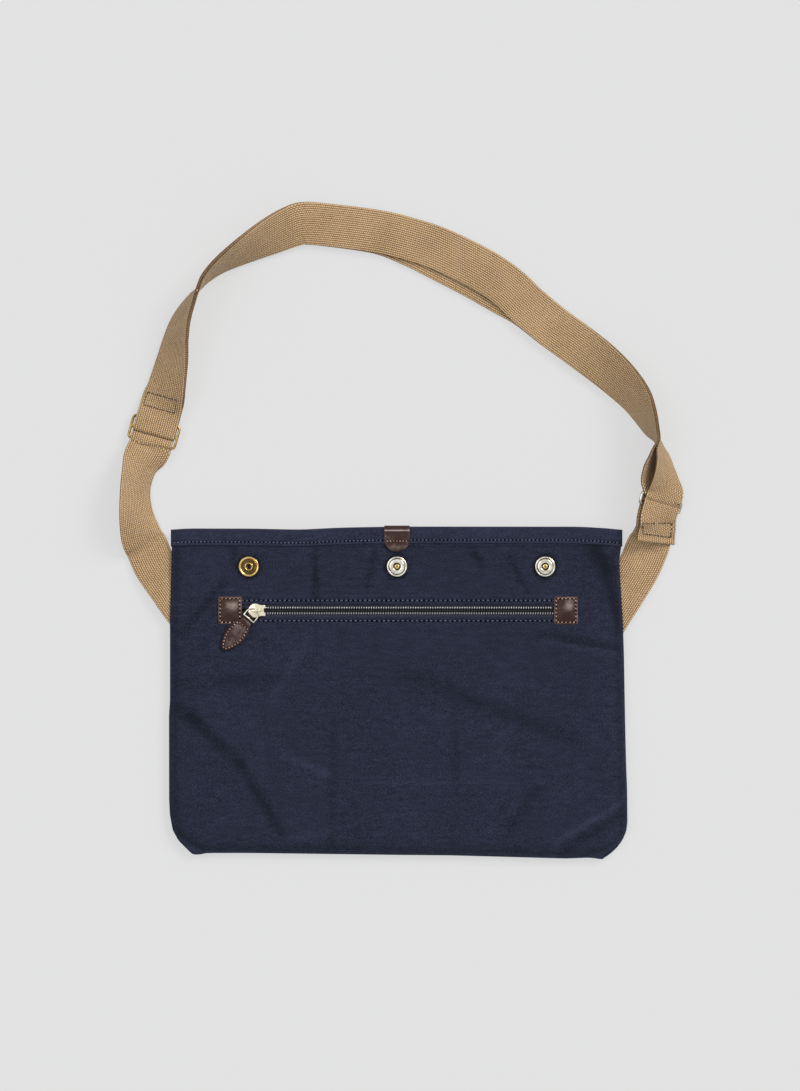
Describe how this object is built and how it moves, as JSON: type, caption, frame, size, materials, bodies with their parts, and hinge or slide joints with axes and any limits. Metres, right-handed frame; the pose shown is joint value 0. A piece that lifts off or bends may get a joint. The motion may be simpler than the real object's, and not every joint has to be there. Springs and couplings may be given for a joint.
{
  "type": "messenger bag",
  "caption": "Flat rectangular canvas shoulder bag with a zipped front pocket, leather trim, ring snaps and an adjustable webbing strap.",
  "frame": {"origin": "middle of the back panel's underside, on the surface the bag lies on", "axes": "+X across the bag to the wearer's right as seen from the front, +Y from the bottom seam to the mouth, +Z out of the front panel"},
  "size_m": [0.5006, 0.5833, 0.0396],
  "materials": {
    "canvas": "dense cotton canvas with a faint twill line and a soft bloom",
    "leather": "polished dark brown leather with burnished edges",
    "lining": "plain cotton pocketing",
    "zip_tape": "woven polyester tape",
    "zip_coil": "pale metallic coil",
    "zip_metal": "polished pale gold plate",
    "snap_brass": "polished brass",
    "snap_nickel": "polished warm nickel",
    "webbing": "ribbed cotton webbing",
    "ring_steel": "polished nickel wire",
    "glide_brass": "aged brass wire"
  },
  "bodies": {
    "bag": {"back_panel": "canvas", "front_panel": "canvas", "seam_binding": "canvas", "front_hem": "canvas", "back_hem": "canvas", "top_tab": "leather", "pocket_lining_back": "lining", "pocket_lining_front": "lining", "zip_tape_upper": "zip_tape", "zip_tape_lower": "zip_tape", "zip_coil_upper": "zip_coil", "zip_coil_lower": "zip_coil", "zip_top_stops": "zip_metal", "zip_bottom_stop": "zip_metal", "patch_left": "leather", "patch_right": "leather", "snap_stud_left": "snap_brass", "snap_socket_middle": "snap_nickel", "snap_socket_right": "snap_nickel", "snap_post_left": "snap_brass", "snap_post_middle": "snap_brass", "snap_post_right": "snap_brass", "strap_tail_left": "webbing", "strap_tail_right": "webbing"},
    "slider": {"slider_body": "zip_metal", "slider_bail": "zip_metal"},
    "pull_ring": {"pull_ring": "zip_metal"},
    "leather_pull": {"leather_pull": "leather"},
    "strap": {"strap_long": "webbing", "strap_short": "webbing", "tri_glide": "glide_brass"},
    "strap_ring": {"strap_ring": "ring_steel"}
  },
  "joints": [
    {"name": "zip_slide", "type": "slide", "parent": "bag", "child": "slider", "axis": [1, 0, 0], "range_m": [0, 0.25], "deforming": ["zip_coil_upper", "zip_coil_lower"]},
    {"name": "ring_lift", "type": "hinge", "parent": "slider", "child": "pull_ring", "pos_m": [-0.1253, 0.0733, 0.01435], "axis": [-0.766, 0.6428, 0], "range_deg": [0, 110]},
    {"name": "pull_swing", "type": "hinge", "parent": "pull_ring", "child": "leather_pull", "pos_m": [-0.1314, 0.06603, 0.01405], "axis": [-0.766, 0.6428, 0], "range_deg": [0, 85]},
    {"name": "strap_lift", "type": "hinge", "parent": "bag", "child": "strap", "pos_m": [0, 0.128, 0.003], "axis": [1, 0, 0], "range_deg": [0, 90]},
    {"name": "ring_tilt", "type": "hinge", "parent": "strap", "child": "strap_ring", "pos_m": [0.23238, 0.16359, 0.0134], "axis": [0.8365, -0.2241, -0.5], "range_deg": [-4, 1.2]}
  ]
}
